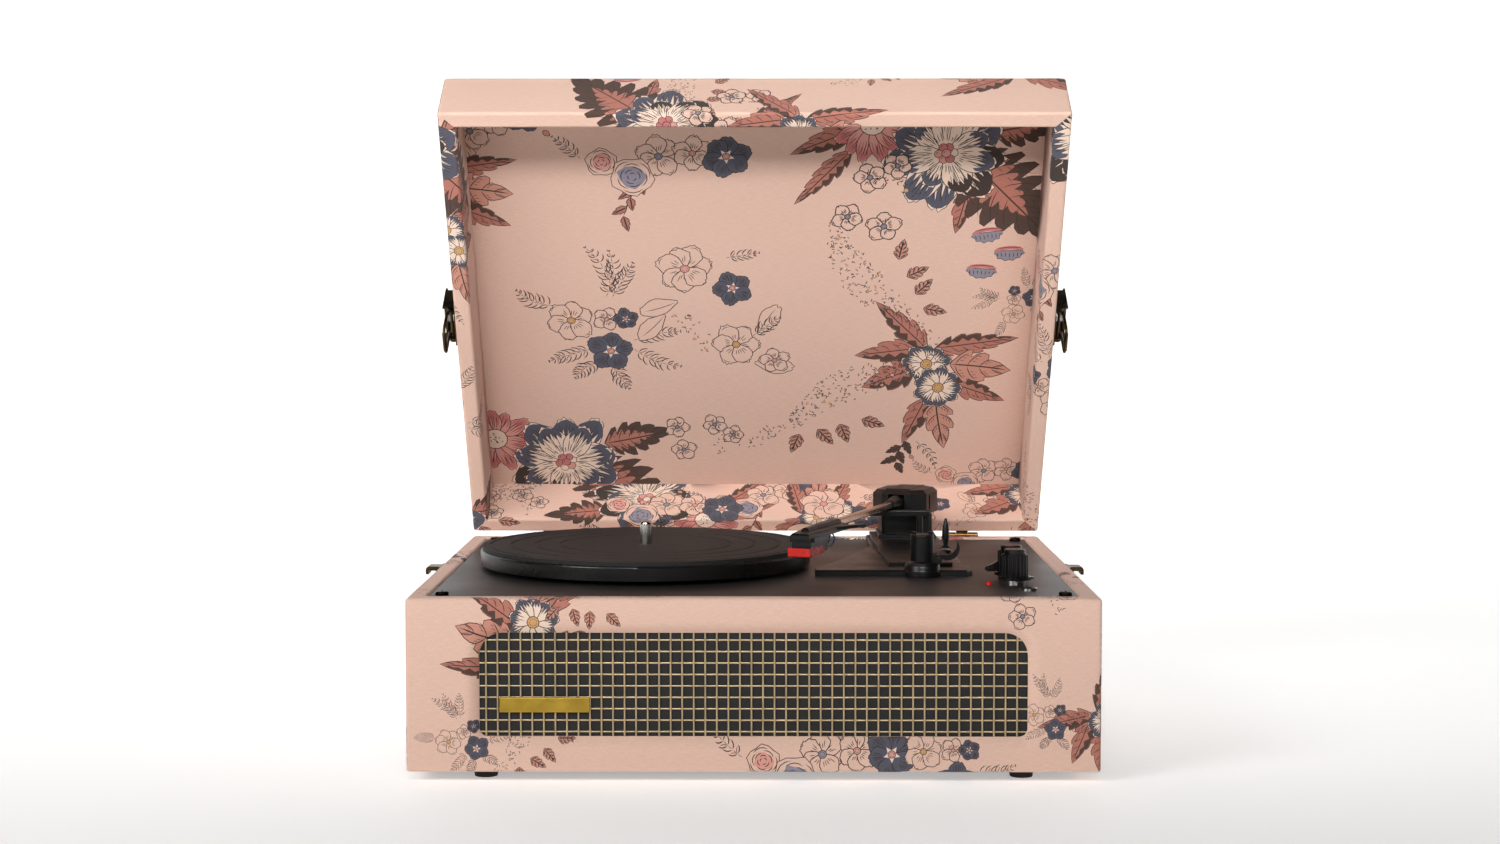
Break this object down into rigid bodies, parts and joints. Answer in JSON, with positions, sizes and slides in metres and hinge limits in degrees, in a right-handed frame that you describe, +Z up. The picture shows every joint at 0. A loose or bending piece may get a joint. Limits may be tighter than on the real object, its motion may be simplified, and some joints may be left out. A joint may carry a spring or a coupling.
{
  "type": "suitcase record player",
  "caption": "Cloth-covered suitcase record player with an open hinged lid, belt-driven platter, pivoting tonearm, control knobs and a grille over its front speakers.",
  "frame": {"origin": "on the supporting surface, at the middle of the open player's footprint", "axes": "+X to the right of someone facing the grille, +Y towards the hinges, +Z up along the record spindle"},
  "size_m": [0.3846, 0.341, 0.3772],
  "materials": {
    "cloth_case": "linen-weave printed cloth over board",
    "board": "raw fibreboard",
    "foot_rubber": "matt black",
    "screw_black": "black, satin",
    "screw_brass": "aged brass",
    "deck_black": "fine-textured black",
    "hinge_brass": "aged brass",
    "latch_brass": "dark antique brass",
    "grille_wire": "pale gold wire",
    "grille_cloth": "black speaker cloth",
    "badge_gold": "plain gold bar",
    "speaker_metal": "black",
    "paper_cone": "pressed paper pulp",
    "platter_black": "black, satin",
    "mat_rubber": "black, grooved",
    "spindle_steel": "turned steel",
    "bearing_brass": "turned brass",
    "belt_rubber": "black",
    "motor_steel": "zinc plated",
    "knob_black": "black, ribbed",
    "control_metal": "zinc plated",
    "chrome_trim": "bright",
    "lamp_red": "red lens",
    "socket_metal": "plated",
    "circuit_green": "solder mask green",
    "arm_plastic": "black, satin",
    "arm_metal": "satin tube",
    "stylus_red": "red",
    "pin_steel": "plain"
  },
  "bodies": {
    "case": {"base_front_board": "cloth_case", "base_back_board": "cloth_case", "base_left_board": "cloth_case", "base_right_board": "cloth_case", "base_bottom_board": "board", "deck_cleats": "board", "feet": "foot_rubber", "case_screws": "screw_brass", "deck_plate": "deck_black", "deck_screws": "screw_black", "hinge_base_leaves": "hinge_brass", "hinge_pins": "hinge_brass", "speaker_grille": "grille_wire", "grille_cloth": "grille_cloth", "speaker_baffle": "board", "badge_plate": "badge_gold", "speaker_frames": "speaker_metal", "speaker_cones": "paper_cone", "spindle": "spindle_steel", "spindle_bearing": "bearing_brass", "drive_belt": "belt_rubber", "motor": "motor_steel", "control_bodies": "control_metal", "headphone_jack": "arm_plastic", "power_lamp": "lamp_red", "panel_nuts": "chrome_trim", "back_sockets": "socket_metal", "amplifier_board": "circuit_green", "tonearm_base": "arm_plastic", "arm_rest_post": "arm_plastic", "lever_pins": "pin_steel", "pivot_block": "arm_plastic", "catches": "latch_brass"},
    "lid": {"lid_top_panel": "cloth_case", "lid_front_board": "cloth_case", "lid_back_board": "cloth_case", "lid_left_board": "cloth_case", "lid_right_board": "cloth_case", "hinge_lid_leaves": "hinge_brass", "hinge_lid_screws": "screw_brass", "latch_plates": "latch_brass"},
    "left_latch": {"left_latch_lever": "latch_brass"},
    "right_latch": {"right_latch_lever": "latch_brass"},
    "left_loop": {"left_latch_loop": "latch_brass"},
    "right_loop": {"right_latch_loop": "latch_brass"},
    "turntable": {"platter": "platter_black", "platter_mat": "mat_rubber"},
    "drive_pulley": {"motor_pulley": "bearing_brass"},
    "arm_pivot": {"pivot_housing": "arm_plastic", "pivot_pin": "pin_steel"},
    "arm": {"arm_tube": "arm_metal", "arm_yoke": "arm_plastic", "headshell": "arm_plastic", "cartridge": "arm_plastic", "stylus_holder": "stylus_red"},
    "cueing_lever": {"cue_lever": "arm_plastic"},
    "lifter": {"lift_bar": "arm_plastic"},
    "clip": {"arm_clip": "arm_plastic"},
    "volume": {"volume_knob": "knob_black"},
    "selector": {"selector_knob": "knob_black"}
  },
  "joints": [
    {"name": "lid_hinge", "type": "hinge", "parent": "case", "child": "lid", "pos_m": [0, 0.13661, 0.09675], "axis": [1, 0, 0], "range_deg": [0, 57.1]},
    {"name": "left_latch_turn", "type": "hinge", "parent": "lid", "child": "left_latch", "pos_m": [-0.184, 0.06276, 0.23346], "axis": [0, -0.5432, 0.8396], "range_deg": [0, 100]},
    {"name": "left_loop_turn", "type": "hinge", "parent": "left_latch", "child": "left_loop", "pos_m": [-0.1865, 0.06612, 0.23563], "axis": [0, -0.5432, 0.8396], "range_deg": [-100, 0]},
    {"name": "right_latch_turn", "type": "hinge", "parent": "lid", "child": "right_latch", "pos_m": [0.184, 0.06276, 0.23346], "axis": [0, 0.5432, -0.8396], "range_deg": [0, 100]},
    {"name": "right_loop_turn", "type": "hinge", "parent": "right_latch", "child": "right_loop", "pos_m": [0.1865, 0.06612, 0.23563], "axis": [0, 0.5432, -0.8396], "range_deg": [-100, 0]},
    {"name": "platter_spin", "type": "hinge", "parent": "case", "child": "turntable", "pos_m": [-0.0628, -0.01828, 0.1], "axis": [0, 0, 1], "continuous": true},
    {"name": "pulley_spin", "type": "hinge", "parent": "case", "child": "drive_pulley", "pos_m": [-0.12562, 0.03442, 0.1], "axis": [0, 0, 1], "continuous": true},
    {"name": "arm_swing", "type": "hinge", "parent": "case", "child": "arm_pivot", "pos_m": [0.0934, 0.09122, 0.1235], "axis": [0, 0, 1], "range_deg": [-22, 18.6]},
    {"name": "arm_lift", "type": "hinge", "parent": "arm_pivot", "child": "arm", "pos_m": [0.0934, 0.09122, 0.1235], "axis": [-0.9478, 0.319, 0], "range_deg": [0, 1.6]},
    {"name": "cue_turn", "type": "hinge", "parent": "case", "child": "cueing_lever", "pos_m": [0.113, 0.01821, 0.1005], "axis": [1, 0, 0], "range_deg": [0, 60]},
    {"name": "lift_slide", "type": "slide", "parent": "case", "child": "lifter", "axis": [0, 0, 1], "range_m": [0, 0.001]},
    {"name": "clip_turn", "type": "hinge", "parent": "case", "child": "clip", "pos_m": [0.103, -0.06378, 0.1057], "axis": [0, -1, 0], "range_deg": [0, 50]},
    {"name": "volume_turn", "type": "hinge", "parent": "case", "child": "volume", "pos_m": [0.142, -0.10129, 0.1045], "axis": [0, 0, -1], "range_deg": [-140, 140]},
    {"name": "selector_turn", "type": "hinge", "parent": "case", "child": "selector", "pos_m": [0.142, -0.08028, 0.1045], "axis": [0, 0, -1], "range_deg": [-35, 35]}
  ],
  "couplings": [
    {"joint": "left_loop_turn", "follows": "left_latch_turn", "ratio": -1},
    {"joint": "right_loop_turn", "follows": "right_latch_turn", "ratio": -1},
    {"joint": "pulley_spin", "follows": "platter_spin", "ratio": 17.5},
    {"joint": "arm_lift", "follows": "lift_slide", "rad_per_m": 27.925},
    {"joint": "cue_turn", "follows": "lift_slide", "rad_per_m": 1047.2}
  ]
}
